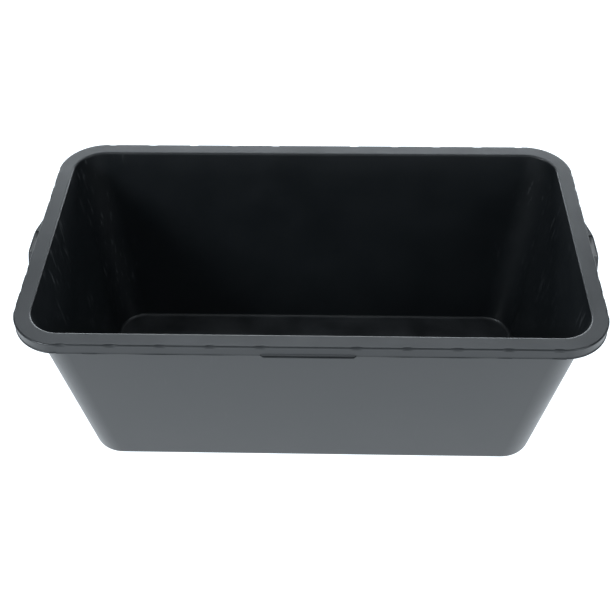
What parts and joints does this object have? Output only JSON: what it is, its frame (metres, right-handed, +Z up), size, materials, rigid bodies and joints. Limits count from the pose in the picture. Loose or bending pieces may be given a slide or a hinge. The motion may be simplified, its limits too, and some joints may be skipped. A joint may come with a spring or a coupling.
{
  "type": "mortar mixing tub",
  "caption": "Rectangular black plastic tub with leaning walls, a broad stiffened rim and finger grips, for mixing and carrying mortar.",
  "frame": {"origin": "on the ground, under the middle of the tub", "axes": "+Z up; X along the tub, from ear to ear; Y across it"},
  "size_m": [0.773, 0.4248, 0.297],
  "materials": {
    "black_polyethylene": "satin, injection moulded"
  },
  "bodies": {
    "root": {"floor_pan": "black_polyethylene", "foot_ring": "black_polyethylene", "gate_mark": "black_polyethylene", "tub_walls": "black_polyethylene", "rim_flange": "black_polyethylene", "skirt_front": "black_polyethylene", "skirt_back": "black_polyethylene", "skirt_left": "black_polyethylene", "skirt_right": "black_polyethylene", "skirt_corner_front_left": "black_polyethylene", "skirt_corner_front_right": "black_polyethylene", "skirt_corner_back_left": "black_polyethylene", "skirt_corner_back_right": "black_polyethylene", "grip_lip_front": "black_polyethylene", "grip_lip_back": "black_polyethylene", "ribs_front": "black_polyethylene", "ribs_back": "black_polyethylene", "ribs_left": "black_polyethylene", "ribs_right": "black_polyethylene", "ribs_corner_front_left": "black_polyethylene", "ribs_corner_front_right": "black_polyethylene", "ribs_corner_back_left": "black_polyethylene", "ribs_corner_back_right": "black_polyethylene", "ear_left": "black_polyethylene", "ear_right": "black_polyethylene", "ear_lip_left": "black_polyethylene", "ear_lip_right": "black_polyethylene", "ear_gussets_left": "black_polyethylene", "ear_gussets_right": "black_polyethylene"}
  },
  "joints": []
}
